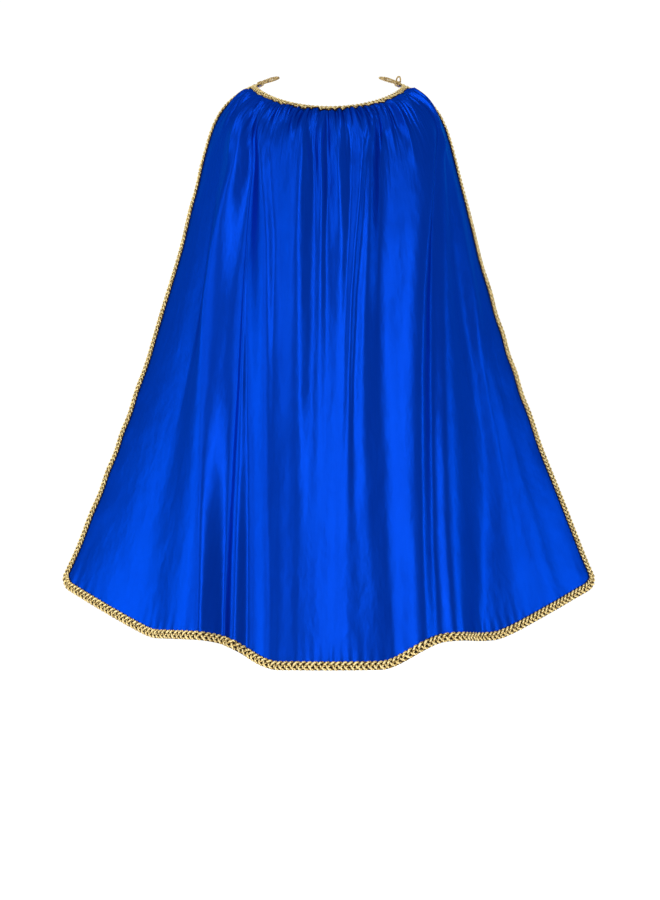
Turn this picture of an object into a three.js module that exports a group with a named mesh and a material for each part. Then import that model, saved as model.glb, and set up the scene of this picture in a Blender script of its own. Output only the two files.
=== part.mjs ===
// A child's satin cape: one gathered and flared cloth, a neck stay tape, gold braid round all four
// sides and a cord loop bound to each shoulder corner. Millimetres, +Z up. The origin is midway between the
// two shoulder corners; the wearer faces +Y, so the outer face of the cape looks towards -Y.
import * as THREE from 'three';
import { mergeVertices } from 'three/addons/utils/BufferGeometryUtils.js';

// ---- driving dimensions ----
const NECK_HALF = 85; // half the distance between the shoulder corners
const NECK_BACK = 70; // how far the nape lies behind the corners
const NECK_DROP = 37; // how far the neckline sags below the corners at the nape
const NECK_SAG_POWER = 1.25;

const SHOULDER_REACH = 44; // the cloth rounds out this far over each shoulder
const BACK_REACH = 16; // and this far over the upper back
const SHOULDER_FALL = 20; // depth in which most of that rounding happens

const HEM_HALF = 314; // half the spread of the hem
const HEM_BACK = 185; // how far the hem stands behind the corners at the centre
const FLARE_EARLY = 0.62; // share of the flare that grows evenly with depth

const HEM_DEPTH = 664; // hem below the corners at the centre back
const STEP_RISE = 28; // the hem rises where the centre panel turns into each wing
const STEP_FROM = 55;
const STEP_TO = 130;
const WING_FROM = 188; // the wings' hem sweeps up from here to the lower corners
const WING_RISE = 52;
const WING_POWER = 1.1;
const CORNER_CUT = 13; // height of the slanted cut that stands for each round lower corner

const CLOTH = 2.4; // thickness of the solid that stands for the cloth
const TRIM = 2.6; // thickness of the braid
const LINING = 1.4; // thickness of tape and tabs
const GAP = 1.0; // room between the cloth and what is sewn to it
const SEAM = 0.4; // room between two lengths that meet end to end

const NECK_BRAID_WIDTH = 8;
const EDGE_BRAID_WIDTH = 8;
const HEM_BRAID_WIDTH = 11;
const TAPE_WIDTH = 14;
const TAPE_SPAN = 0.72; // share of the neckline that the tape runs along, between the corner tabs

const SWING_DEPTH = 80; // the skirt swings about a line this far below the corners
const SWING_GAP = 1.2;

const COLUMNS = 56; // facets across the cape
const TOP_ROWS = 6;
const SKIRT_ROWS = 15;

// Soft folds: x at the shoulder blades, x at the hem, half width, height (inward is negative),
// depth where the fold starts and depth where it is full.
const FOLDS = [
  [-128, -122, 30, -17, 200, 470],
  [-96, -95, 24, -10, 200, 470],
  [-66, -62, 36, 10, 50, 200],
  [-20, -20, 28, -9, 50, 150],
  [9, 9, 22, 4, 50, 200],
  [41, 38, 28, -9, 50, 120],
  [80, 82, 36, 14, 60, 260],
  [118, 122, 20, 5, 120, 300],
  [140, 146, 30, -18, 200, 470],
  [150, 215, 60, 10, 120, 420],
  [-150, -215, 70, 8, 120, 420],
];

// Shoulder loops
const CORD_RADIUS = 1.5;
const LOOP_LENGTH = 28;
const LOOP_INSIDE = 9; // clear width of the eye
const BINDING_RADIUS = 3.6;
const BINDING_LENGTH = 7;
const CORNER_CLEARANCE = 5; // from the cloth's corner to the start of the binding
const LOOP_PLAY = 2; // room for the loop to turn at the end of its binding
const BOW_RADIUS = 1.1; // cord end turned back in a small bow, at the right corner only
const BOW_SPAN = 6;
const BOW_HEIGHT = 5;
const LOOP_LEAN = [0.53, 0.76, 0.38]; // inward, forward and up, for the left loop
const LOOP_FACE = [-0.25, -0.457, 0.8]; // outward normal of the loop as it lies on the shoulder
const TAB = [18, 15]; // corner tab, along and across the neckline

const BLUE = new THREE.MeshStandardMaterial({ color: 0x0b3fd0, roughness: 0.38, metalness: 0.0 });
const GOLD = new THREE.MeshStandardMaterial({ color: 0xc79a3c, roughness: 0.45, metalness: 0.6 });
const CORD = new THREE.MeshStandardMaterial({ color: 0xd0993a, roughness: 0.4, metalness: 0.55 });
const TAPE = new THREE.MeshStandardMaterial({ color: 0x16389c, roughness: 0.85, metalness: 0.0 });

const { PI, sin, cos, exp, pow, abs } = Math;
const { lerp, smoothstep, clamp } = THREE.MathUtils;

// ---- the cloth as a surface ----
// Depth of the hem below the corners at a distance x from the centre.
function hemDepth(x) {
  const step = STEP_RISE * smoothstep(abs(x), STEP_FROM, STEP_TO);
  const wing = clamp((abs(x) - WING_FROM) / (HEM_HALF - WING_FROM), 0, 1);
  return HEM_DEPTH - step - WING_RISE * pow(wing, WING_POWER);
}

// The same with the lower corners taken off.
function cutDepth(x) {
  return hemDepth(x) - CORNER_CUT * clamp((abs(x) - (HEM_HALF - CORNER_CUT)) / CORNER_CUT, 0, 1);
}

// The cloth without its folds: u runs from -1 at the left edge to 1 at the right edge.
function drape(u, depth) {
  const turn = (u * PI) / 2;
  const nape = cos(turn);
  const neckDepth = NECK_DROP * pow(Math.max(nape, 0), NECK_SAG_POWER);
  const x0 = NECK_HALF * sin(turn);
  const y0 = -NECK_BACK * nape;
  const reachX = SHOULDER_REACH * sin(turn);
  const reachY = -BACK_REACH * nape;
  const fall = hemDepth(HEM_HALF * u) - neckDepth;
  const t = (depth - neckDepth) / fall;
  const rounding = 1 - exp(-(depth - neckDepth) / SHOULDER_FALL);
  const flare = FLARE_EARLY * t + (1 - FLARE_EARLY) * t * t;
  const hemX = HEM_HALF * u;
  const hemY = -HEM_BACK * (1 - u * u);
  return new THREE.Vector3(
    x0 + reachX * rounding + (hemX - x0 - reachX) * flare,
    y0 + reachY * rounding + (hemY - y0 - reachY) * flare,
    -depth,
  );
}

function neckDepthAt(u) {
  return NECK_DROP * pow(Math.max(cos((u * PI) / 2), 0), NECK_SAG_POWER);
}

function hemDepthAt(u) {
  return cutDepth(HEM_HALF * u);
}

function normalOf(surface, u, depth) {
  const across = surface(u + 0.004, depth).sub(surface(u - 0.004, depth));
  const down = surface(u, depth + 1).sub(surface(u, depth - 1));
  return down.cross(across).normalize();
}

function foldHeight(x, depth) {
  let height = 0;
  for (const [xTop, xHem, halfWidth, full, starts, fills] of FOLDS) {
    const centre = lerp(xTop, xHem, (depth - SWING_DEPTH) / (HEM_DEPTH - SWING_DEPTH));
    const q = clamp((x - centre) / halfWidth, -1, 1);
    height += full * 0.5 * (1 + cos(PI * q)) * smoothstep(depth, starts, fills);
  }
  return height;
}

// The cloth with its folds.
function cloth(u, depth) {
  const point = drape(u, depth);
  const normal = normalOf(drape, u, depth);
  return point.addScaledVector(normal, foldHeight(point.x, depth));
}

function offCloth(u, depth, lift) {
  return cloth(u, depth).addScaledVector(normalOf(cloth, u, depth), lift);
}

// How much u a width in millimetres takes at a place on the cloth.
function acrossShare(u, depth) {
  const inward = u > 0 ? u - 0.01 : u + 0.01;
  return 0.01 / cloth(u, depth).distanceTo(cloth(inward, depth));
}

// ---- solids laid on the cloth ----
// A box with facets, each corner (u share, depth share, side) moved to where place() puts it.
function layOnCloth(columns, rows, place) {
  const box = new THREE.BoxGeometry(1, 1, 1, columns, rows, 1);
  box.deleteAttribute('normal');
  box.deleteAttribute('uv');
  const sheet = mergeVertices(box);
  const position = sheet.getAttribute('position');
  for (let i = 0; i < position.count; i += 1) {
    const across = position.getX(i) + 0.5;
    const down = 0.5 - position.getY(i);
    const outside = position.getZ(i) > 0;
    const p = place(across, down, outside);
    position.setXYZ(i, p.x, p.y, p.z);
  }
  return sheet;
}

const group = new THREE.Group();

function add(name, geometry, material) {
  const mesh = new THREE.Mesh(geometry, material);
  mesh.name = name;
  group.add(mesh);
  return mesh;
}

const clothSide = (outside) => (outside ? CLOTH / 2 : -CLOTH / 2);
const trimSide = (outside) => CLOTH / 2 + GAP + (outside ? TRIM : 0);
const liningSide = (outside) => -CLOTH / 2 - GAP - (outside ? 0 : LINING);

// Rows crowd towards the neckline, where the cloth rounds over the shoulders.
function topDepth(u, down) {
  return lerp(neckDepthAt(u), SWING_DEPTH - SWING_GAP / 2, pow(down, 1.5));
}

// The last row of the skirt is as deep as the hem braid sewn over it.
function skirtDepth(u, down) {
  const braidTop = hemDepthAt(u) - HEM_BRAID_WIDTH;
  const share = (down * SKIRT_ROWS) / (SKIRT_ROWS - 1);
  const above = lerp(SWING_DEPTH + SWING_GAP / 2, braidTop, Math.min(share, 1));
  return share > 1.0001 ? hemDepthAt(u) : above;
}

// The gathered top of the cloth, over the shoulders and upper back
add('satin_top', layOnCloth(COLUMNS, TOP_ROWS, (across, down, outside) => {
  const u = lerp(-1, 1, across);
  return offCloth(u, topDepth(u, down), clothSide(outside));
}), BLUE);

// The flared skirt of the cloth
add('satin_skirt', layOnCloth(COLUMNS, SKIRT_ROWS, (across, down, outside) => {
  const u = lerp(-1, 1, across);
  return offCloth(u, skirtDepth(u, down), clothSide(outside));
}), BLUE);

// Braid down the two side edges, in an upper and a lower stretch
function edgeBraid(side, rows, depthAt) {
  return layOnCloth(1, rows, (across, down, outside) => {
    const inner = side * (1 - EDGE_BRAID_WIDTH * acrossShare(side, depthAt(side, down)));
    const u = side > 0 ? lerp(inner, side, across) : lerp(side, inner, across);
    return offCloth(u, depthAt(u, down), trimSide(outside));
  });
}

for (const [word, side] of [['left', -1], ['right', 1]]) {
  add(`${word}_edge_braid_top`, edgeBraid(side, TOP_ROWS, topDepth), GOLD);
  add(`${word}_edge_braid`, edgeBraid(side, SKIRT_ROWS, skirtDepth), GOLD);
}

// Share of u that an edge braid covers, with the room between it and the braid it meets
function edgeRoom(side, depth) {
  return (EDGE_BRAID_WIDTH + SEAM) * acrossShare(side, depth);
}

// Braid along the hem, between the two edge braids
add('hem_braid', layOnCloth(COLUMNS, 1, (across, down, outside) => {
  const edge = lerp(-1, 1, across);
  const limit = 1 - edgeRoom(Math.sign(edge) || 1, hemDepthAt(1));
  const u = clamp(edge, -limit, limit);
  const depth = hemDepthAt(u) - HEM_BRAID_WIDTH * (1 - down);
  return offCloth(u, depth, trimSide(outside));
}), GOLD);

// Close to the neckline the cloth slopes, so a width along it takes less depth.
function slopedDepth(u, width) {
  const start = neckDepthAt(u);
  const steep = cloth(u, start).distanceTo(cloth(u, start + 2)) / 2;
  return start + width / steep;
}

// Braid along the neckline, between the two edge braids
add('neck_braid', layOnCloth(COLUMNS, 1, (across, down, outside) => {
  const edge = lerp(-1, 1, across);
  const depth = lerp(neckDepthAt(edge), slopedDepth(edge, NECK_BRAID_WIDTH), down);
  const u = edge * (1 - edgeRoom(Math.sign(edge) || 1, depth));
  return offCloth(u, depth, trimSide(outside));
}), GOLD);

// The stay tape that holds the gathers, inside the neckline
add('neck_stay_tape', layOnCloth(COLUMNS / 2, 1, (across, down, outside) => {
  const u = lerp(-TAPE_SPAN, TAPE_SPAN, across);
  const depth = lerp(slopedDepth(u, 1), slopedDepth(u, TAPE_WIDTH), down);
  return offCloth(u, depth, liningSide(outside));
}), TAPE);

// ---- shoulder corners ----
function mirrored([x, y, z], side) {
  return new THREE.Vector3(-side * x, y, z).normalize();
}

// Axes of a loop: along runs out of the corner, face looks away from the shoulder.
function loopFrame(side) {
  const along = mirrored(LOOP_LEAN, side);
  const face = mirrored(LOOP_FACE, side);
  face.addScaledVector(along, -face.dot(along)).normalize();
  const across = new THREE.Vector3().crossVectors(along, face);
  const corner = new THREE.Vector3(side * NECK_HALF, 0, 0);
  return { along, face, across, corner };
}

// The cord as it leaves the binding, goes round the eye and comes back
function loopPath(side) {
  const { along, across, corner } = loopFrame(side);
  const start = CORNER_CLEARANCE + BINDING_LENGTH + LOOP_PLAY;
  const half = LOOP_INSIDE / 2 + CORD_RADIUS;
  const root = CORD_RADIUS + 0.35;
  const strand = [[0, root], [3, root + 0.6], [9, half - 0.5], [16, half]];
  const points = [...strand];
  for (let step = 1; step < 8; step += 1) {
    const turn = (step * PI) / 8;
    points.push([LOOP_LENGTH - half + half * sin(turn), half * cos(turn)]);
  }
  for (const [a, w] of strand.toReversed()) {
    points.push([a, -w]);
  }
  return new THREE.CatmullRomCurve3(points.map(([a, w]) => corner
    .clone()
    .addScaledVector(along, start + a)
    .addScaledVector(across, w)));
}

// The spare cord end turned back over the binding
function bowPath(side) {
  const { along, face, corner } = loopFrame(side);
  const middle = CORNER_CLEARANCE + BINDING_LENGTH / 2;
  const foot = BINDING_RADIUS + SEAM;
  const points = [];
  for (let step = 0; step <= 8; step += 1) {
    const turn = (step * PI) / 8;
    points.push(corner
      .clone()
      .addScaledVector(along, middle - (BOW_SPAN / 2) * cos(turn))
      .addScaledVector(face, foot + BOW_HEIGHT * sin(turn)));
  }
  return new THREE.CatmullRomCurve3(points);
}

function ring(radius, sides) {
  const shape = new THREE.Shape();
  for (let i = 0; i < sides; i += 1) {
    const turn = (i * 2 * PI) / sides;
    const move = i === 0 ? 'moveTo' : 'lineTo';
    shape[move](radius * cos(turn), radius * sin(turn));
  }
  shape.closePath();
  return shape;
}

function closed(geometry) {
  geometry.deleteAttribute('normal');
  geometry.deleteAttribute('uv');
  return mergeVertices(geometry, 1e-3);
}

function cordAlong(path, radius, steps) {
  return closed(new THREE.ExtrudeGeometry(ring(radius, 8), { steps, extrudePath: path }));
}

// Thread wound round the roots of the loop: a barrel with rounded shoulders
function binding() {
  const profile = [
    [0, 0],
    [BINDING_RADIUS * 0.7, 0],
    [BINDING_RADIUS, 1.3],
    [BINDING_RADIUS, BINDING_LENGTH - 1.3],
    [BINDING_RADIUS * 0.8, BINDING_LENGTH],
    [0, BINDING_LENGTH],
  ];
  const points = profile.map(([r, h]) => new THREE.Vector2(r, h));
  return closed(new THREE.LatheGeometry(points, 14));
}

for (const [word, side] of [['left', -1], ['right', 1]]) {
  const { along, corner } = loopFrame(side);
  add(`${word}_loop`, cordAlong(loopPath(side), CORD_RADIUS, 32), CORD);

  const wrap = add(`${word}_loop_binding`, binding(), CORD);
  wrap.quaternion.setFromUnitVectors(new THREE.Vector3(0, 1, 0), along);
  wrap.position.copy(corner).addScaledVector(along, CORNER_CLEARANCE);

  // A doubled square of cloth under the corner takes the pull of the loop.
  const u = side * 0.87;
  const depth = neckDepthAt(u) + 9;
  const inward = normalOf(cloth, u, depth).negate();
  const tab = add(`${word}_corner_tab`, new THREE.BoxGeometry(TAB[0], TAB[1], LINING), TAPE);
  tab.quaternion.setFromUnitVectors(new THREE.Vector3(0, 0, 1), inward);
  tab.position.copy(offCloth(u, depth, -CLOTH / 2 - GAP - 2.4));
}

add('right_loop_bow', cordAlong(bowPath(1), BOW_RADIUS, 12), CORD);

export default group;
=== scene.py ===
"""A child's royal-blue satin cape, dressed for display: the gathered and flared cloth, its gold
plaited braid, the twisted cord loops at the shoulder corners, and the tape, turned hems and
stitches on the inside. Metres, +Z up, outer face towards -Y."""
import math

import bpy
import numpy as np
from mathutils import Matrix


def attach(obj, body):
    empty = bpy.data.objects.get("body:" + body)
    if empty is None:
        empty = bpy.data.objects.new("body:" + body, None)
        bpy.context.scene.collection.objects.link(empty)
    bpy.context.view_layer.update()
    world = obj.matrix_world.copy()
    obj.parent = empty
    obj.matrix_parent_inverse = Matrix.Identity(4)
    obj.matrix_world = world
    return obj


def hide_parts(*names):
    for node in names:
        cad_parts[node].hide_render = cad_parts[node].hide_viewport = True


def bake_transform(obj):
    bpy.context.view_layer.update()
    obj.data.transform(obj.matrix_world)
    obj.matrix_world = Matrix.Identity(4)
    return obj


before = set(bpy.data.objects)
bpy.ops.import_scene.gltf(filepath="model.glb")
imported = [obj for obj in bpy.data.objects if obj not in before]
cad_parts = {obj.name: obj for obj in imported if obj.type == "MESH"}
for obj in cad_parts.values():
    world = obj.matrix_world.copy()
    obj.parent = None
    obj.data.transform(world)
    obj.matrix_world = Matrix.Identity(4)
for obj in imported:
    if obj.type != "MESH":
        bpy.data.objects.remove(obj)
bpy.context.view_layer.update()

MM = 0.001
TAU = 2 * math.pi

# ---- driving dimensions of the cape, metres ----
NECK_HALF, NECK_BACK, NECK_DROP, NECK_SAG_POWER = 0.085, 0.070, 0.037, 1.25
SHOULDER_REACH, BACK_REACH, SHOULDER_FALL = 0.044, 0.016, 0.020
HEM_HALF, HEM_BACK, FLARE_EARLY = 0.314, 0.185, 0.62
HEM_DEPTH, STEP_RISE, STEP_FROM, STEP_TO = 0.664, 0.028, 0.055, 0.130
WING_FROM, WING_RISE, WING_BEND = 0.188, 0.052, 0.12
CORNER_ROUND = 0.013

CLOTH_THICK = 0.0004
CUT_HALF = 0.38  # half the width of the flat cloth's map
INSIDE = 8.0  # the map of the cloth's inside is moved over by this much
FOLDS_FROM, FOLDS_FULL = 0.005, 0.045  # the folds rise between these distances from the neckline
GATHERS_END = (0.86, 0.95)  # shares of the half width between which the gathers die out

BRAID_WIDE, HEM_BRAID_EXTRA = 0.008, 0.0025
BRAID_REPEAT, HEM_REPEAT_EXTRA = 0.0150, 0.0048  # one turn of the plait
SHADE_GROUND_OVER, SHADE_GROUND_UNDER = 0.0009, 0.0003  # faces of the braid's near-black ground band, painted shade in the gaps between strands, outwards of the cloth
TURNED_OVER, TURNED_UNDER = -0.0003, -0.0007  # faces of the turned hem
TAPE_OVER, TAPE_UNDER = -0.0010, -0.0016  # faces of the stay tape
THREAD_WIDE, THREAD_HIGH = 0.00022, 0.00018  # half the width and height of sewing thread
STITCH_LONG = 0.0024
FLOOR_DEPTH = 0.927  # the studio floor below the shoulder corners

# The folds: crests and dips in turn from the left edge to the right one. Each has its place
# across, in thousandths from the middle to the edge, and its height outwards, in fold units, at
# these depths in metres.
FOLD_UNIT = 0.085e-3
FOLD_DEPTHS = [0.045, 0.090, 0.135, 0.190, 0.255, 0.345, 0.435, 0.530, 0.630]
FOLD_LINES = [
    ([-777, -728, -740, -720, -705, -711, -728, -737, -714],
     [-20, -27, -30, -30, -30, -19, -4, 0, 0]),
    ([-586, -563, -612, -652, -658, -608, -544, -489, -440],
     [25, 55, 78, 85, 75, 72, 98, 135, 150]),
    ([-524, -472, -483, -473, -464, -442, -430, -408, -382],
     [-80, -125, -145, -120, -95, -85, -90, -100, -115]),
    ([-517, -466, -477, -467, -445, -414, -392, -369, -343],
     [-80, -120, -135, -105, -75, -45, -42, -45, -55]),
    ([-508, -458, -471, -459, -431, -389, -350, -322, -296],
     [-80, -120, -140, -115, -95, -90, -95, -135, -160]),
    ([-453, -403, -367, -325, -306, -280, -254, -229, -205],
     [14, 5, 8, 18, 14, 3, -22, -38, -40]),
    ([-389, -339, -308, -278, -269, -254, -233, -211, -188],
     [-40, -47, -42, -28, -17, -4, -20, -38, -40]),
    ([-177, -149, -158, -161, -152, -140, -126, -116, -108],
     [40, 53, 62, 57, 50, 37, 8, -2, -3]),
    ([-116, -86, -76, -74, -70, -72, -76, -80, -84],
     [-54, -52, -44, -24, -15, -13, -6, -3, -3]),
    ([-66, -47, -40, -42, -43, -48, -52, -56, -60],
     [0, 0, -12, -14, -9, -9, -5, -3, -3]),
    ([-9, -3, -5, -16, -11, -12, -20, -28, -34],
     [-68, -65, -62, -43, -30, -20, -8, -3, -2]),
    ([63, 49, 55, 67, 59, 40, 22, 8, -6],
     [14, 20, 25, 14, -2, -8, -4, -1, -1]),
    ([148, 121, 114, 97, 78, 62, 48, 36, 22],
     [-40, -39, -18, 0, -4, -5, -3, -1, -1]),
    ([239, 183, 163, 134, 108, 90, 78, 66, 56],
     [40, 47, 50, 39, 24, 13, 4, 1, 0]),
    ([272, 211, 190, 166, 135, 110, 103, 109, 117],
     [14, 13, 6, -6, -12, -13, -9, -6, -5]),
    ([285, 226, 213, 198, 174, 154, 152, 163, 184],
     [14, 13, 9, 8, 8, 6, 4, 4, 3]),
    ([380, 313, 298, 274, 250, 237, 230, 224, 223],
     [-148, -143, -118, -78, -54, -24, -6, -1, 1]),
    ([741, 640, 576, 510, 455, 406, 375, 347, 323],
     [40, 75, 115, 125, 115, 100, 80, 80, 80]),
    ([856, 691, 622, 569, 526, 481, 442, 408, 388],
     [-10, -3, 0, 0, 0, -7, -10, -10, 0]),
    ([915, 756, 698, 650, 601, 544, 497, 461, 438],
     [10, 24, 37, 47, 50, 50, 54, 59, 69]),
    ([940, 796, 763, 751, 745, 745, 721, 649, 572],
     [0, 7, 3, -14, -40, -80, -112, -128, -130]),
    ([960, 876, 862, 846, 828, 808, 800, 770, 730],
     [0, 5, 15, 25, 23, -50, -80, -90, -95]),
    ([980, 956, 937, 910, 892, 869, 870, 870, 860],
     [0, 0, 5, 8, -4, -40, -50, -55, -60]),
]


# ---- the cloth's shape ----
def ease(start, end, x):
    """0 before start, 1 after end, and a smooth cubic step between them."""
    t = np.clip((x - start) / (end - start), 0, 1)
    return t * t * (3 - 2 * t)


def hem_line(x):
    """Depth of the hem at x before its corners are rounded: deepest at the centre, one step up
    to each wing and a sweep up to each lower corner."""
    side = np.abs(x)
    wing = np.clip((side - WING_FROM) / (HEM_HALF - WING_FROM), 0, 1)
    sweep = (np.hypot(wing, WING_BEND) - WING_BEND) / (math.hypot(1, WING_BEND) - WING_BEND)
    return HEM_DEPTH - STEP_RISE * ease(STEP_FROM, STEP_TO, side) - WING_RISE * sweep


def hem_depth(x):
    """Depth of the hem at x with its round lower corners."""
    into = np.clip(np.abs(x) - (HEM_HALF - CORNER_ROUND), 0, CORNER_ROUND)
    return hem_line(x) - CORNER_ROUND + np.sqrt(CORNER_ROUND**2 - into**2 * 0.995)


def neck_depth(u):
    """Depth of the neckline, a sagging arc between the shoulder corners."""
    return NECK_DROP * np.cos(u * math.pi / 2).clip(0) ** NECK_SAG_POWER


def drape(u, depth):
    """The cloth without folds: a half ellipse at the neck, rounded outwards over the shoulders
    with an exponential, then flared with depth to a parabola at the hem."""
    across, nape = np.sin(u * math.pi / 2), np.cos(u * math.pi / 2)
    top = neck_depth(u)
    t = (depth - top) / (hem_line(HEM_HALF * u) - top)
    rounding = 1 - np.exp(-(depth - top) / SHOULDER_FALL)
    flare = FLARE_EARLY * t + (1 - FLARE_EARLY) * t * t
    x0, y0 = NECK_HALF * across, -NECK_BACK * nape
    reach_x, reach_y = SHOULDER_REACH * across, -BACK_REACH * nape
    x = x0 + reach_x * rounding + (HEM_HALF * u - x0 - reach_x) * flare
    y = y0 + reach_y * rounding + (-HEM_BACK * (1 - u * u) - y0 - reach_y) * flare
    return np.stack([x, y, -depth], -1)


def unit(v):
    return v / np.linalg.norm(v, axis=-1, keepdims=True).clip(1e-12)


def outward(surface, u, depth):
    """Outward normal of a surface, from central differences."""
    across = surface(u + 0.003, depth) - surface(u - 0.003, depth)
    down = surface(u, depth + 0.001) - surface(u, depth - 0.001)
    return unit(np.cross(down, across))


FINE_DEPTHS = np.arange(0.0, 0.70, 0.004)
SMOOTHING = 15  # fine depths that one rounded bend takes up


def smooth_table(values):
    """A row of the fold table at every fine depth, with its bends rounded off by a moving
    average under a cosine window."""
    fine = np.interp(FINE_DEPTHS, FOLD_DEPTHS, values)
    window = np.hanning(SMOOTHING)
    return np.convolve(np.pad(fine, SMOOTHING // 2, "edge"), window / window.sum(), "valid")


FOLD_PLACES = [np.full(len(FINE_DEPTHS), -1.0), *(smooth_table(p) / 1000 for p, _ in FOLD_LINES),
               np.full(len(FINE_DEPTHS), 1.0)]
FOLD_HEIGHTS = [0 * FINE_DEPTHS, *(smooth_table(h) * FOLD_UNIT for _, h in FOLD_LINES),
                0 * FINE_DEPTHS]


def folds(u, depth):
    """Height of the folds: a smooth slope between each crest or dip and the next."""
    height = np.zeros(np.broadcast(u, depth).shape)
    places = [np.interp(depth, FINE_DEPTHS, row) for row in FOLD_PLACES]
    heights = [np.interp(depth, FINE_DEPTHS, row) for row in FOLD_HEIGHTS]
    for here, there, low, high in zip(places, places[1:], heights, heights[1:]):
        height += (high - low) * ease(here, there, u)
    return height


def gather_list():
    """The gathers at the neckline: place across, width, height, length and drift of each."""
    draw = np.random.default_rng(41)
    count = 38
    places = -0.96 + 1.92 * (np.arange(count) + 0.5) / count + draw.normal(0, 0.012, count)
    widths = draw.uniform(0.011, 0.020, count)
    heights = draw.uniform(0.0038, 0.0074, count)
    lengths = draw.choice([0.035, 0.05, 0.075, 0.11], count, p=[0.25, 0.3, 0.28, 0.17])
    drifts = draw.normal(0, 0.2, count)
    return zip(places, widths, heights, lengths, drifts)


GATHERS = list(gather_list())


def gathers(u, run):
    """Height of the gathers at a distance run below the neckline: sharp-topped ridges that rise
    just below the stitching, widen and die out, with fine creases between them, a sine with a
    wandering pitch that fades exponentially. They stop short of the side braid."""
    height = np.zeros(np.broadcast(u, run).shape)
    for place, width, full, length, drift in GATHERS:
        off = (u - place - drift * run) / (width * (1 + run / 0.07))
        envelope = ease(0.003, 0.011, run) * (1 - ease(0.25 * length, length, run))
        height += full * envelope * np.exp(-np.abs(off) ** 1.35)
    fine = np.sin(u * TAU * 31 + 2.4 * np.sin(u * 41) + 1.3 * np.sin(u * 97 + 40 * run))
    height = height + 0.0009 * fine * ease(0.002, 0.010, run) * np.exp(-run / 0.030)
    return height * (1 - ease(*GATHERS_END, np.abs(u)))


def run_below_neck(u, depth):
    """Distance down the cloth from the neckline, near enough: the depth below it and the
    outward reach of the rounded part."""
    below = np.maximum(depth - neck_depth(u), 0)
    return below + BACK_REACH * (1 - np.exp(-below / SHOULDER_FALL))


def puckers(u, depth):
    """Ripples where the braid draws up the hem and the side edges: sines with a wandering
    pitch that fade exponentially away from the edge."""
    x = HEM_HALF * u
    above_hem = (hem_depth(x) - depth).clip(0)
    ripple = np.sin(x * TAU / 0.0105 + 1.7 * np.sin(x * 61)) * (0.55 + 0.45 * np.sin(x * 37 + 1))
    hem = 0.0005 * ripple * np.exp(-above_hem / 0.013)
    edge = 0.0007 * np.sin(depth * TAU / 0.071 + 3.1 * np.sin(depth * 17 + u) + 2 * u)
    return hem + edge * np.exp(-(1 - np.abs(u)) / 0.05) * ease(0.05, 0.15, depth)


def ungathered(u, depth):
    """The draped cloth with only its long folds, laid on along its outward normal."""
    height = folds(u, depth) * ease(FOLDS_FROM, FOLDS_FULL, run_below_neck(u, depth))
    return drape(u, depth) + outward(drape, u, depth) * height[..., None]


def cloth(u, depth):
    """The draped cloth with its folds, gathers and puckers."""
    height = gathers(u, run_below_neck(u, depth)) + puckers(u, depth)
    return ungathered(u, depth) + outward(drape, u, depth) * height[..., None]


# ---- meshes ----
def build(name, parts, material):
    """One object at the origin from (vertices, list of face arrays, uv) parts."""
    vertices, faces, uv, first = [], [], [], 0
    for part_vertices, part_faces, part_uv in parts:
        vertices.append(part_vertices.reshape(-1, 3))
        uv.append(part_uv.reshape(-1, 2))
        for block in part_faces:
            faces += (block + first).tolist()
        first += len(vertices[-1])
    vertices, uv = np.concatenate(vertices), np.concatenate(uv)
    mesh = bpy.data.meshes.new(name)
    mesh.from_pydata(vertices.tolist(), [], faces)
    corners = np.empty(len(mesh.loops), dtype=np.int32)
    mesh.loops.foreach_get("vertex_index", corners)
    layer = mesh.uv_layers.new(name="cut")
    layer.data.foreach_set("uv", uv[corners].astype(np.float32).ravel())
    mesh.polygons.foreach_set("use_smooth", np.full(len(mesh.polygons), True))
    mesh.materials.append(material)
    piece = bpy.data.objects.new(name, mesh)
    bpy.context.scene.collection.objects.link(piece)
    return piece


def cells(rows, columns, first=0, flip=False):
    """The four-sided faces of a grid of vertices numbered row by row."""
    index = first + np.arange(rows * columns).reshape(rows, columns)
    quads = np.stack([index[:-1, :-1], index[1:, :-1], index[1:, 1:], index[:-1, 1:]], -1)
    quads = quads.reshape(-1, 4)
    return quads[:, ::-1] if flip else quads


def shell(points, normals, outer, inner, uv, inner_uv=None):
    """A closed thin sheet: the grid moved outer and inner along its normals, with a rim round
    all four sides. Rows crossed with columns point outwards."""
    rows, columns = points.shape[:2]
    vertices = np.concatenate([points + normals * outer, points + normals * inner])
    count = rows * columns
    index = np.arange(count).reshape(rows, columns)
    rim = np.concatenate([index[0, :-1], index[:-1, -1], index[-1, :0:-1], index[:0:-1, 0]])
    after = np.roll(rim, -1)
    walls = np.stack([rim, after, after + count, rim + count], -1)
    faces = [cells(rows, columns), cells(rows, columns, count, flip=True), walls]
    return vertices, faces, np.concatenate([uv, uv if inner_uv is None else inner_uv])


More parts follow.
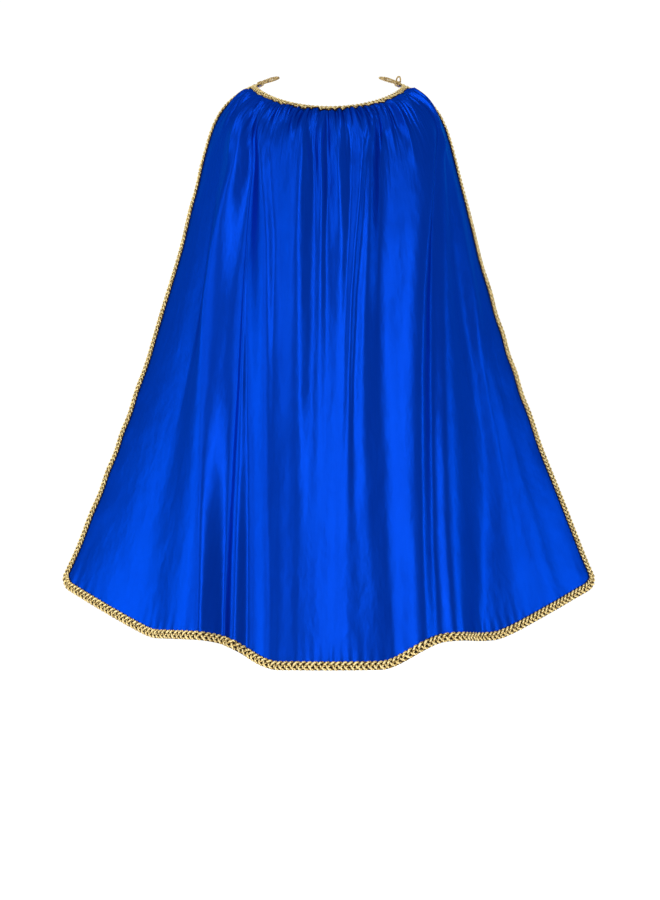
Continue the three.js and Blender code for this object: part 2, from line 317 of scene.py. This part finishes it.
def tube(centre, normal, wide, high, sides=8, along=None):
    """Closed tubes with an elliptic section. centre is one path or several of the same length,
    normal the way the high axis points. uv is (share of the turn, distance along)."""
    if centre.ndim == 2:
        centre, normal = centre[None], normal[None]
    paths, rows = centre.shape[:2]
    tangent = unit(np.gradient(centre, axis=1))
    up = unit(normal - tangent * (normal * tangent).sum(-1, keepdims=True))
    side = np.cross(tangent, up)
    turn = (np.arange(sides) * TAU / sides)[:, None]
    wide = np.broadcast_to(wide, (paths, rows))[..., None, None]
    high = np.broadcast_to(high, (paths, rows))[..., None, None]
    body = centre[:, :, None] + side[:, :, None] * np.cos(turn) * wide
    body = body + up[:, :, None] * np.sin(turn) * high
    if along is None:
        steps = np.linalg.norm(np.diff(centre, axis=1), axis=2)
        along = np.concatenate([np.zeros((paths, 1)), np.cumsum(steps, 1)], 1)
    body_uv = np.stack(np.broadcast_arrays(turn[:, 0] / TAU, along[..., None]), -1)
    vertices = np.concatenate([body.reshape(paths, -1, 3), centre[:, :1], centre[:, -1:]], 1)
    ends = np.zeros((paths, 2, 2))
    ends[:, 1, 1] = along[:, -1]
    uv = np.concatenate([body_uv.reshape(paths, -1, 2), ends], 1)
    ring = np.arange(rows * sides).reshape(rows, sides)
    after = np.roll(ring, -1, axis=1)
    walls = np.stack([ring[:-1], ring[1:], after[1:], after[:-1]], -1).reshape(-1, 4)
    first = np.stack([ring[0], after[0], np.full(sides, rows * sides)], -1)
    last = np.stack([after[-1], ring[-1], np.full(sides, rows * sides + 1)], -1)
    offset = (np.arange(paths) * (rows * sides + 2))[:, None, None]
    return vertices, [(block + offset).reshape(-1, block.shape[-1])
                      for block in (walls, first, last)], uv


# ---- finishes ----
class Value:
    """A shader socket that can be used in an expression: each operator adds its Math node."""

    def __init__(self, finish, socket):
        self.finish, self.socket = finish, socket

    def __add__(self, other):
        return self.finish.maths("ADD", self, other)

    def __sub__(self, other):
        return self.finish.maths("SUBTRACT", self, other)

    def __rsub__(self, other):
        return self.finish.maths("SUBTRACT", other, self)

    def __mul__(self, other):
        return self.finish.maths("MULTIPLY", self, other)

    __radd__, __rmul__ = __add__, __mul__


class Finish:
    """A material in the making: node() adds any node and returns one of its outputs."""

    def __init__(self, name, **constants):
        self.material = bpy.data.materials.new(name)
        self.material.use_nodes = True
        self.tree = self.material.node_tree
        self.shader = self.tree.nodes["Principled BSDF"]
        for socket, value in constants.items():
            self.shader.inputs[socket.replace("_", " ")].default_value = value

    def node(self, kind, settings=(), values=(), out=0):
        made = self.tree.nodes.new(kind)
        for key, value in dict(settings).items():
            if key == "stops":
                ramp = made.color_ramp.elements
                while len(ramp) < len(value):
                    ramp.new(0.5)
                for stop, (place, colour) in zip(ramp, value):
                    stop.position, stop.color = place, (*colour, 1)
            else:
                setattr(made, key, value)
        for key, value in dict(values).items():
            self.put(made.inputs[key], value)
        return Value(self, made.outputs[out])

    def maths(self, operation, first, second=None):
        values = {0: first} if second is None else {0: first, 1: second}
        return self.node("ShaderNodeMath", {"operation": operation}, values)

    def put(self, socket, value):
        if isinstance(value, Value):
            self.tree.links.new(value.socket, socket)
        else:
            socket.default_value = value

    def set(self, **values):
        for socket, value in values.items():
            self.put(self.shader.inputs[socket.replace("_", " ")], value)
        return self.material

    def cut(self):
        """Place on the cut cloth, or round and along a cord, from the piece's own map."""
        return self.node("ShaderNodeUVMap", {"uv_map": "cut"})

    def place(self):
        return self.node("ShaderNodeTexCoord", out=3)

    def scaled(self, vector, scale):
        return self.node("ShaderNodeMapping", values={"Vector": vector, "Scale": scale})

    def noise(self, vector, scale, detail=2.0, roughness=0.5):
        values = {"Vector": vector, "Scale": scale, "Detail": detail, "Roughness": roughness}
        return self.node("ShaderNodeTexNoise", values=values)

    def waves(self, vector, scale, direction="X"):
        settings = {"wave_type": "BANDS", "bands_direction": direction}
        return self.node("ShaderNodeTexWave", settings, {"Vector": vector, "Scale": scale}, out=1)

    def blend(self, share, first, second):
        settings = {"data_type": "RGBA"}
        values = {0: share, 6: (*first, 1) if isinstance(first, tuple) else first,
                  7: (*second, 1) if isinstance(second, tuple) else second}
        return self.node("ShaderNodeMix", settings, values, out=2)

    def bump(self, height, distance, strength=1.0, normal=None):
        values = {"Height": height, "Distance": distance, "Strength": strength}
        if normal is not None:
            values["Normal"] = normal
        return self.node("ShaderNodeBump", values=values)


def satin_finish():
    """Royal-blue polyester satin: a tinted soft gloss, warp streaks, a fine weave, the faint
    crumple that cloth keeps from its packing, and creases that fade below the neckline. The
    map's second value falls with the distance down the cloth. The inside is the duller back."""
    finish = Finish("royal_blue_satin", Specular_IOR_Level=0.0,
                    Specular_Tint=(0.02, 0.60, 1.0, 1.0))
    cut = finish.cut()
    across = finish.node("ShaderNodeSeparateXYZ", values={0: cut})
    back = finish.maths("GREATER_THAN", across, INSIDE / 2)
    streaks = finish.noise(finish.scaled(cut, (420, 9, 1)), 1.0, 3.0)
    patches = finish.noise(cut, 14.0, 3.0, 0.55)
    tone = streaks * 0.5 + patches * 0.5
    colour = finish.blend(tone, (0.0006, 0.027, 0.33), (0.0011, 0.041, 0.42))
    dull = finish.blend(tone, (0.010, 0.060, 0.40), (0.014, 0.075, 0.50))
    crumple = finish.noise(finish.scaled(cut, (1.0, 0.55, 1)), 34.0, 3.0, 0.5)
    weave = finish.waves(finish.scaled(cut, (1, 0.35, 1)), 520.0, "DIAGONAL")
    fall = finish.node("ShaderNodeSeparateXYZ", values={0: cut}, out=1)
    near_neck = finish.maths("EXPONENT", fall * 28.0)
    creases = finish.noise(finish.scaled(cut, (105, 12, 1)), 1.0, 2.0) * near_neck
    pressed = finish.bump(creases, 0.0055, 1.0, finish.bump(crumple, 0.0022, 0.5))
    fine = finish.bump(weave, 0.00004, 0.5, pressed)
    return finish.set(Base_Color=finish.blend(back, colour, dull), Normal=fine,
                      Roughness=0.27 + 0.1 * streaks + 0.24 * back,
                      Metallic=0.70 - 0.6 * back)


def braid_finish(name, light, deep, pitch, over=0.0):
    """Metallic braid: each strand is yarn wound with foil, so fine spiral ridges run round it.
    Its colour carries painted cream highlight on the ridges and painted brown shade between
    them. over is how much painted highlight a plaited strand gets where it passes over the
    others; the map then runs in turns of the plait."""
    finish = Finish(name, Metallic=0.5, Specular_IOR_Level=0.6)
    cut = finish.cut()
    split = finish.node("ShaderNodeSeparateXYZ", values={0: cut})
    along = finish.node("ShaderNodeSeparateXYZ", values={0: cut}, out=1)
    spiral = 0.5 + 0.5 * finish.maths("SINE", split * (2 * TAU) + along * (pitch * TAU))
    specks = finish.noise(finish.place(), 1300.0, 2.0, 0.6)
    patches = finish.noise(finish.place(), 360.0, 2.0)
    # painted highlight where a strand passes over the others
    crossing_highlight = finish.maths("SINE", along * (2 * TAU)) * over
    share = specks * 0.3 + spiral * 0.2 + patches * 0.5 + crossing_highlight
    # The ramp paints light and shade: the deep stop is painted brown shade and the cream top stop
    # painted highlight. The spiral term sets them between and on the ridges and the crossing term
    # on the crossings, while specks and patches vary them at random.
    stops = [(0.40, deep), (0.50, light), (0.60, (0.95, 0.80, 0.40))]
    colour = finish.node("ShaderNodeValToRGB", {"stops": stops}, {0: share})
    ridges = finish.bump(spiral, 0.00018, 0.8)
    glint = finish.bump(specks, 0.00020, 0.5, ridges)
    return finish.set(Base_Color=colour, Roughness=0.26 + 0.25 * patches, Normal=glint)


def tape_finish(name, first, second, pitch):
    """Matt woven tape or thread: fine ribs across it and a little fleck."""
    finish = Finish(name, Roughness=0.82, Specular_IOR_Level=0.2)
    cut = finish.cut()
    ribs = finish.waves(cut, pitch, "X")
    fleck = finish.noise(finish.place(), 900.0, 2.0)
    colour = finish.blend(ribs * 0.5 + fleck * 0.5, first, second)
    return finish.set(Base_Color=colour, Normal=finish.bump(ribs, 0.00015, 0.7))


# ---- camera first ----
def make_camera():
    """Level with the middle of the whole costume, square on to the back."""
    data = bpy.data.cameras.new("camera")
    data.lens = 82.05
    camera = bpy.data.objects.new("camera", data)
    camera.location = (0.001, -2.4, -0.426)
    camera.rotation_euler = (math.pi / 2, 0, 0)
    bpy.context.scene.collection.objects.link(camera)
    bpy.context.scene.camera = camera


make_camera()

SATIN = satin_finish()
# Both yarns carry the painted cream highlight and brown shade of braid_finish; the braid's over
# adds painted highlight on the crossings.
BRAID = braid_finish("gold_braid_yarn", light=(0.62, 0.39, 0.085), deep=(0.030, 0.014, 0.004),
                     pitch=9.0, over=0.10)
CORD = braid_finish("gold_cord_yarn", light=(0.66, 0.38, 0.075), deep=(0.075, 0.032, 0.006),
                    pitch=900.0)
# The braid's ground band is near-black: painted shade that shows in the gaps between the strands.
SHADE_GROUND = tape_finish("braid_shade_ground", (0.010, 0.006, 0.002), (0.030, 0.016, 0.005), pitch=300.0)
TAPE = tape_finish("blue_stay_tape", (0.010, 0.035, 0.22), (0.018, 0.06, 0.32), pitch=420.0)
TURNED = tape_finish("turned_hem", (0.006, 0.045, 0.34), (0.010, 0.065, 0.44), pitch=700.0)
THREAD = tape_finish("blue_thread", (0.014, 0.08, 0.55), (0.03, 0.12, 0.70), pitch=900.0)


def swing(piece):
    """Bakes the piece's placement into its mesh; the piece is not split or hung on the neckline
    or the skirt.
    """
    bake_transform(piece)


# ---- the satin sheet ----
def along_rows(points, axis):
    """Running length along one axis of a grid of points."""
    steps = np.linalg.norm(np.diff(points, axis=axis), axis=-1)
    pad = [(0, 0), (0, 0)]
    pad[axis] = (1, 0)
    return np.cumsum(np.pad(steps, pad), axis=axis)


def satin_sheet():
    """The cloth as a thin closed sheet. Its columns stand a little closer near the side edges,
    and its rows near the neckline, where the gathers are."""
    columns, rows = 424, 112
    even = np.linspace(-1, 1, columns)
    across = np.clip(even + 0.035 * np.sin(even * math.pi), -1, 1)
    u, share = np.meshgrid(across, np.linspace(0, 1, rows))
    share = 0.35 * share + 0.65 * share**1.7
    top = neck_depth(u)
    depth = top + (hem_depth(HEM_HALF * u) - top) * share
    points, normals = cloth(u, depth), outward(cloth, u, depth)
    uv = np.stack([u * CUT_HALF, -along_rows(points, 0)], -1)
    part = shell(points, normals, CLOTH_THICK / 2, -CLOTH_THICK / 2, uv, uv + [INSIDE, 0])
    sheet = build("satin_sheet", [part], SATIN)
    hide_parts("satin_top", "satin_skirt")
    swing(sheet)
    return sheet


# ---- lines along the cloth ----
class Border:
    """A line drawn on a surface and spaced evenly; at() gives places beside it, a width in from
    the line, with the surface's outward normals there."""

    def __init__(self, u, depth, into=1, step=0.0008, surface=cloth):
        points = surface(u, depth)
        steps = np.linalg.norm(np.diff(points, axis=0), axis=1)
        along = np.concatenate([[0], np.cumsum(steps)])
        self.length, self.into, self.surface = along[-1], into, surface
        self.along = np.linspace(0, along[-1], int(along[-1] / step))
        self.u, self.depth = (np.interp(self.along, along, a) for a in (u, depth))
        points = surface(self.u, self.depth)
        normals = outward(surface, self.u, self.depth)
        inward = np.cross(normals, unit(np.gradient(points, axis=0))) * into
        du, dd = 0.002, 0.001  # steps of the central differences
        across = (surface(self.u + du, self.depth) - surface(self.u - du, self.depth)) / (2 * du)
        down = (surface(self.u, self.depth + dd) - surface(self.u, self.depth - dd)) / (2 * dd)
        pair = np.stack([across, down], -1)
        # what a metre inwards changes in u and in depth
        self.per_metre = np.stack([(np.linalg.pinv(m) @ v) for m, v in zip(pair, inward)])

    def at(self, along, width):
        u, depth, du, dd = (np.interp(along, self.along, a) for a in (
            self.u, self.depth, self.per_metre[:, 0], self.per_metre[:, 1]))
        u, depth = u + du * width, depth + dd * width
        return self.surface(u, depth), outward(self.surface, u, depth)


def ribbon(border, start, end, widths, outer, inner, step=0.0016):
    """A thin flat band that follows the cloth, between two distances along a border."""
    along = np.linspace(start, end, max(int((end - start) / step), 2))
    across = np.array(widths[::border.into])
    points, normals = border.at(*np.meshgrid(along, across, indexing="ij"))
    uv = np.stack(np.meshgrid(along, across, indexing="ij"), -1)
    return shell(points, normals, outer, inner, uv)


def plait(border, start, end, width, turns):
    """Three strands that swing from side to side and pass over and under each other, a third
    of a turn apart: sideways a sine, height a sine of twice the angle."""
    strand_share, strand_high = 0.118, 0.00078  # half of one strand's width and height
    overhang, lift, weave = 0.0006, 0.0015, 0.0007  # past the edge, off the cloth, up and down
    along = np.linspace(start, end, max(int((end - start) / 0.0008), 8))
    wide = np.interp(along, border.along, np.broadcast_to(width, border.along.shape))
    turn = np.interp(along, border.along, turns)
    parts = []
    for k in range(3):
        angle = TAU * (turn + k / 3)
        strand = strand_share * wide
        sideways = wide / 2 - overhang + (wide / 2 - strand) * np.sin(angle)
        points, normals = border.at(along, sideways)
        height = lift + weave * np.sin(2 * angle)
        parts.append(tube(points + normals * height[:, None], normals, strand, strand_high, 8,
                          along=(turn + k / 3)[None]))
    return parts


def stitches(border, start, end, width, lift, pitch, length=STITCH_LONG):
    """A row of short running stitches, each a little bow of thread standing off the cloth."""
    starts = np.arange(start, end - length, pitch)
    share = np.linspace(0, 1, 4)
    points, normals = border.at(starts[:, None] + length * share, width)
    bow = lift * (0.6 + 0.4 * np.sin(math.pi * share))[:, None]
    return [tube(points + normals * bow, normals, THREAD_WIDE, THREAD_HIGH, 5)]


# ---- braid and hems ----
def neckline():
    """Braid round the neckline, the stay tape under it and the two rows that draw the gathers."""
    u = np.linspace(-1, 1, 700)
    line = Border(u, neck_depth(u), into=-1)
    clear = 0.0072  # the corners are left to the side braids
    start, end = clear, line.length - clear
    strands = build("neckline_braid", plait(
        line, start, end, BRAID_WIDE, line.along / BRAID_REPEAT), BRAID)
    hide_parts("neck_braid")
    # a near-black band under the strands: painted shade in the gaps of the plait
    band = build("neckline_braid_shade_ground", [ribbon(
        line, start, end, np.linspace(0.0006, 0.0074, 5), SHADE_GROUND_OVER, SHADE_GROUND_UNDER)],
        SHADE_GROUND)
    line = Border(u, neck_depth(u), into=-1, surface=ungathered)
    start, end = line.length * 0.1, line.length * 0.9
    tape = build("stay_tape", [ribbon(
        line, start, end, np.linspace(0.001, 0.014, 6), TAPE_OVER, TAPE_UNDER)], TAPE)
    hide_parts("neck_stay_tape")
    rows = [part for width in (0.0035, 0.0115)
            for part in stitches(line, start, end, width, lift=-0.0019, pitch=0.0036)]
    thread = build("gathering_stitches", rows, THREAD)
    for piece in (strands, band, tape, thread):
        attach(piece, "neckline")
    return [strands, band, tape, thread]


def perimeter():
    """Down the left edge, round the corner, along the hem and up the right edge."""
    side_points, hem_points = 900, 2600
    down = np.linspace(0, hem_depth(np.array(HEM_HALF)), side_points)
    swept = np.sin(np.linspace(-1, 1, hem_points) * math.pi / 2)[1:-1]
    u = np.concatenate([np.full(side_points, -1.0), swept, np.full(side_points, 1.0)])
    return Border(u, np.concatenate([down, hem_depth(HEM_HALF * swept), down[::-1]]))


def outer_edges():
    """The braid, its ground band coloured near-black as painted shade between the strands, the
    turned hem and the hem stitches on the three outer edges. The side braids run just round
    the lower corners and widen there into the hem braid."""
    line = perimeter()
    corner, widening = 0.985, 0.02
    first = line.along[np.argmax(line.u > -corner)]
    last = line.length - line.along[np.argmax(line.u[::-1] < corner)]
    hem = ease(first - widening, first, line.along)
    hem = hem * (1 - ease(last, last + widening, line.along))
    width = BRAID_WIDE + HEM_BRAID_EXTRA * hem
    turns = np.cumsum(np.gradient(line.along) / (BRAID_REPEAT + HEM_REPEAT_EXTRA * hem))
    pieces = []
    stretches = [("left_side", 0.0, first, ["left_edge_braid_top", "left_edge_braid"]),
                 ("hemline", first, last, ["hem_braid"]),
                 ("right_side", last, line.length, ["right_edge_braid_top", "right_edge_braid"])]
    for name, start, end, nodes in stretches:
        wide = BRAID_WIDE + (HEM_BRAID_EXTRA if name == "hemline" else 0)
        strands = build(name + "_braid", plait(line, start, end, width, turns),
                        BRAID)
        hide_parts(*nodes)
        # a near-black band under the strands: painted shade in the gaps of the plait
        group = [strands, build(name + "_braid_shade_ground", [ribbon(
            line, start, end, np.linspace(-0.0002, wide - 0.0012, 5), SHADE_GROUND_OVER,
            SHADE_GROUND_UNDER)], SHADE_GROUND)]
        group.append(build(name + "_turned_hem", [ribbon(
            line, start, end, [0, 0.0002, 0.0045, 0.0088, 0.009], TURNED_OVER, TURNED_UNDER)],
            TURNED))
        group.append(build(name + "_stitches", stitches(
            line, start, end, width=0.0078, lift=-0.0009, pitch=0.0034), THREAD))
        for piece in group:
            if name == "hemline":
                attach(piece, "skirt")
            else:
                swing(piece)
        pieces += group
    return pieces


# ---- shoulder corners ----
def spline(points, count):
    """A smooth path through points, evenly spaced."""
    p = np.concatenate([2 * points[:1] - points[1:2], points, 2 * points[-1:] - points[-2:-1]])
    t = np.linspace(0, 1, 24, endpoint=False)[:, None]
    runs = []
    for a, b, c, d in zip(p[:-3], p[1:-2], p[2:-1], p[3:]):
        runs.append(0.5 * (2 * b + (c - a) * t + (2 * a - 5 * b + 4 * c - d) * t**2
                           + (3 * b - a - 3 * c + d) * t**3))
    path = np.concatenate([*runs, points[-1:]])
    along = np.concatenate([[0], np.cumsum(np.linalg.norm(np.diff(path, axis=0), axis=1))])
    wanted = np.linspace(0, along[-1], count)
    return np.stack([np.interp(wanted, along, path[:, i]) for i in range(3)], -1)


def twisted(path, face, radius, pitch):
    """Two plies twisted round each other along a path."""
    tangent = unit(np.gradient(path, axis=0))
    across = unit(np.cross(tangent, np.broadcast_to(face, path.shape)))
    over = np.cross(across, tangent)
    steps = np.linalg.norm(np.diff(path, axis=0), axis=1)
    turn = TAU * np.concatenate([[0], np.cumsum(steps)]) / pitch
    parts = []
    for start in (0, math.pi):
        way = across * np.cos(turn + start)[:, None] + over * np.sin(turn + start)[:, None]
        parts.append(tube(path + way * radius * 0.48, way, radius * 0.56, radius * 0.52, 8))
    return parts


class Corner:
    """A shoulder corner: along runs out of it towards the shoulder, face looks away from it."""

    def __init__(self, side):
        self.along = unit(np.array([-side * 0.53, 0.76, 0.38]))
        face = np.array([side * 0.25, -0.457, 0.8])
        self.face = unit(face - self.along * (face @ self.along))
        self.across = np.cross(self.along, self.face)
        self.origin = np.array([side * NECK_HALF, 0, 0])

    def place(self, along, across, over=0):
        a, w, f = (np.asarray(v, float)[..., None] * MM for v in (along, across, over))
        return self.origin + self.along * a + self.across * w + self.face * f


def cord_loop(word, side):
    """The loop of twisted cord: two strands that part to a round eye, placed in millimetres out
    of the corner and across. Its roots bend where they leave the binding."""
    corner = Corner(side)
    strand = [(8, 1.1), (11, 1.5), (14, 1.85), (17, 2.45), (23, 5.5), (30, 6.0)]
    turn = np.arange(1, 8) * math.pi / 8
    eye = list(zip(36 + 6 * np.sin(turn), 6 * np.cos(turn)))
    back = [(a, -w) for a, w in strand[::-1]]
    a, w = np.array(strand + eye + back).T
    sag = -0.5 * ease(20, 40, a)
    path = spline(corner.place(a, w, sag), 190)
    loop = build(f"{word}_cord_loop", twisted(path, corner.face, 0.0015, 0.0062), CORD)
    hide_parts(f"{word}_loop")
    tuple(corner.place(12, 0))
    tuple(corner.place(17, 0))
    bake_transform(loop)


def thread_binding(word, side):
    """A tapered core wound round with ten and a half turns of cord thread, which draws in at
    both ends. Places are in millimetres out of the corner."""
    corner = Corner(side)
    turns, rings = 10.5, 26
    a = np.linspace(2.5, 12, rings)
    radius = 3.0 * (0.45 + 0.55 * ease(2.5, 6, a)) * (1 - 0.22 * ease(10.5, 12, a))
    core = tube(corner.place(a, 0 * a), np.broadcast_to(corner.face, (rings, 3)),
                radius * MM, radius * MM, 14)
    turn = np.linspace(0, turns, 180)
    along = 4.6 + 6.8 * turn / turns
    out = 3.1 - 0.5 * ease(10.2, 11.4, along) - 0.5 * (1 - ease(4.6, 6.0, along))
    angle = TAU * turn
    coil = corner.place(along, out * np.cos(angle), out * np.sin(angle))
    normal = unit(coil - corner.place(along, 0 * along))
    parts = [core, tube(coil, normal, 0.00042, 0.00042, 6)]
    piece = build(f"{word}_thread_binding", parts, CORD)
    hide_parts(f"{word}_loop_binding")
    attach(piece, "neckline")


def spare_bow():
    """A little bow of spare cord over the right binding: an arc whose ends are let into it."""
    corner = Corner(1)
    turn = np.linspace(-0.25, math.pi + 0.25, 9)
    path = spline(corner.place(8.5 - 3.3 * np.cos(turn), 0.5 * np.cos(turn),
                               3.9 + 5.0 * np.sin(turn)), 46)
    piece = build("right_spare_bow", twisted(path, corner.across, 0.0011, 0.0048), CORD)
    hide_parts("right_loop_bow")
    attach(piece, "neckline")


def corner_tab(word, side):
    """A doubled square of satin inside the corner, sewn round with a box of stitches."""
    u, depth = np.array(side * 0.87), neck_depth(np.array(0.87)) + 0.009
    middle, normal = drape(u, depth), outward(drape, u, depth)
    right = drape(u + 0.01, depth) - middle
    right = unit(right - normal * (right @ normal))
    fall = np.cross(right, normal)

    def spot(across, down):
        return middle + right * np.asarray(across)[..., None] + fall * np.asarray(down)[..., None]

    across, down = np.meshgrid(np.linspace(-8.6, 8.6, 7) * MM, np.linspace(-7.2, 7.2, 6) * MM)
    points = spot(across, down)
    normals = np.broadcast_to(normal, points.shape)
    uv = np.stack([across, down], -1)
    layers = [shell(points, normals, lift, lift - 0.0005, uv) for lift in (-0.0024, -0.0031)]
    piece = build(f"{word}_tab", layers, TURNED)
    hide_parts(f"{word}_corner_tab")
    share = np.linspace(0, 1, 4)
    long, short = np.arange(-6.9, 5.5, 2.6) * MM, np.arange(-5.6, 4.2, 2.6) * MM
    rows = []
    for edge in (-6.0, 6.0):
        rows.append(spot(long[:, None] + share * 1.7 * MM, np.full((len(long), 4), edge * MM)))
        rows.append(spot(np.full((len(short), 4), edge * 1.2 * MM),
                         short[:, None] + share * 1.7 * MM))
    centre = np.concatenate(rows) - normal * (0.0036 + 0.0002 * np.sin(math.pi * share))[:, None]
    thread = build(f"{word}_tab_stitches", [tube(
        centre, np.broadcast_to(normal, centre.shape), THREAD_WIDE, THREAD_HIGH, 5)],
        THREAD)
    for part in (piece, thread):
        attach(part, "neckline")


def shoulder_corners():
    """The loop, binding and tab of both corners, and the bow of the right one."""
    for word, side in (("left", -1), ("right", 1)):
        cord_loop(word, side)
        thread_binding(word, side)
        corner_tab(word, side)
    spare_bow()


sheet = satin_sheet()
trims = neckline() + outer_edges()
shoulder_corners()


# ---- studio ----
def studio_floor():
    """A wide sheet of pale paper, which far away takes on the backdrop's tone by direction."""
    size, z = 40.0, -FLOOR_DEPTH
    points = np.array([[-size, -size, z], [size, -size, z], [-size, size, z], [size, size, z]])
    paper = Finish("pale_paper", Roughness=0.9, Specular_IOR_Level=0.1)
    fleck = paper.noise(paper.place(), 3.0)
    away = paper.node("ShaderNodeVectorMath", {"operation": "LENGTH"}, {0: paper.place()}, out=1)
    way = paper.node("ShaderNodeVectorMath", {"operation": "NORMALIZE"}, {0: paper.place()})
    behind = paper.node("ShaderNodeSeparateXYZ", values={0: way}, out=1)
    horizon = paper.node("ShaderNodeValToRGB", {"stops": [
        (0.3, (0.02, 0.02, 0.02)), (0.9, (0.45, 0.45, 0.45))]}, {0: behind})
    far = paper.node("ShaderNodeMapRange", {"interpolation_type": "SMOOTHSTEP"},
                     {"Value": away, "From Min": 1.0, "From Max": 5.0})
    paper.set(Base_Color=paper.blend(fleck, (0.90, 0.90, 0.905), (0.92, 0.92, 0.92)),
              Emission_Color=paper.blend(far, (0.42, 0.42, 0.42), horizon),
              Emission_Strength=1.0)
    floor = build("studio_floor", [(points, [np.array([[0, 1, 3, 2]])], points[:, :2])],
                  paper.material)


def soft_light(name, place, target, size, power):
    """A rectangular lamp at a place, turned to face the target."""
    data = bpy.data.lights.new(name, "AREA")
    data.shape, data.size, data.size_y, data.energy = "RECTANGLE", size[0], size[1], power
    lamp = bpy.data.objects.new(name, data)
    lamp.location = place
    x, y, z = np.array(target) - np.array(place)
    lamp.rotation_euler = (math.pi / 2 + math.atan2(z, math.hypot(x, y)), 0,
                           math.atan2(y, x) - math.pi / 2)
    bpy.context.scene.collection.objects.link(lamp)


def studio():
    """The floor, the lamps, each with its place, size in metres and power in watts, and a pale
    world that brightens with direction towards +Y."""
    studio_floor()
    cape_middle = (0, -0.1, -0.33)
    for name, place, size, power in (
            ("key", (0.05, -2.65, 0.55), (0.75, 1.5), 19),
            ("left_front", (-1.9, -1.6, 0.45), (0.7, 1.3), 9),
            ("left", (-2.45, -0.45, -0.1), (0.7, 1.2), 11.5),
            ("right", (2.45, -0.45, -0.25), (0.6, 1.1), 9.5),
            ("top", (0, -0.4, 1.9), (1.6, 0.8), 3),
            ("inside", (0, 2.4, 0.4), (1.8, 1.8), 10)):
        soft_light(name, place, cape_middle, size, power)
    world = bpy.data.worlds.new("studio")
    world.use_nodes = True
    tree = world.node_tree
    place = tree.nodes.new("ShaderNodeTexCoord")
    split = tree.nodes.new("ShaderNodeSeparateXYZ")
    ramp = tree.nodes.new("ShaderNodeValToRGB")
    tree.links.new(place.outputs["Generated"], split.inputs[0])
    tree.links.new(split.outputs["Y"], ramp.inputs[0])
    low, high = ramp.color_ramp.elements
    low.position, low.color = 0.3, (0.58, 0.58, 0.59, 1)
    high.position, high.color = 0.9, (1.05, 1.05, 1.05, 1)
    back = tree.nodes["Background"]
    tree.links.new(ramp.outputs["Color"], back.inputs["Color"])
    back.inputs["Strength"].default_value = 1.0
    bpy.context.scene.world = world
    bpy.context.scene.view_settings.view_transform = "Standard"


studio()
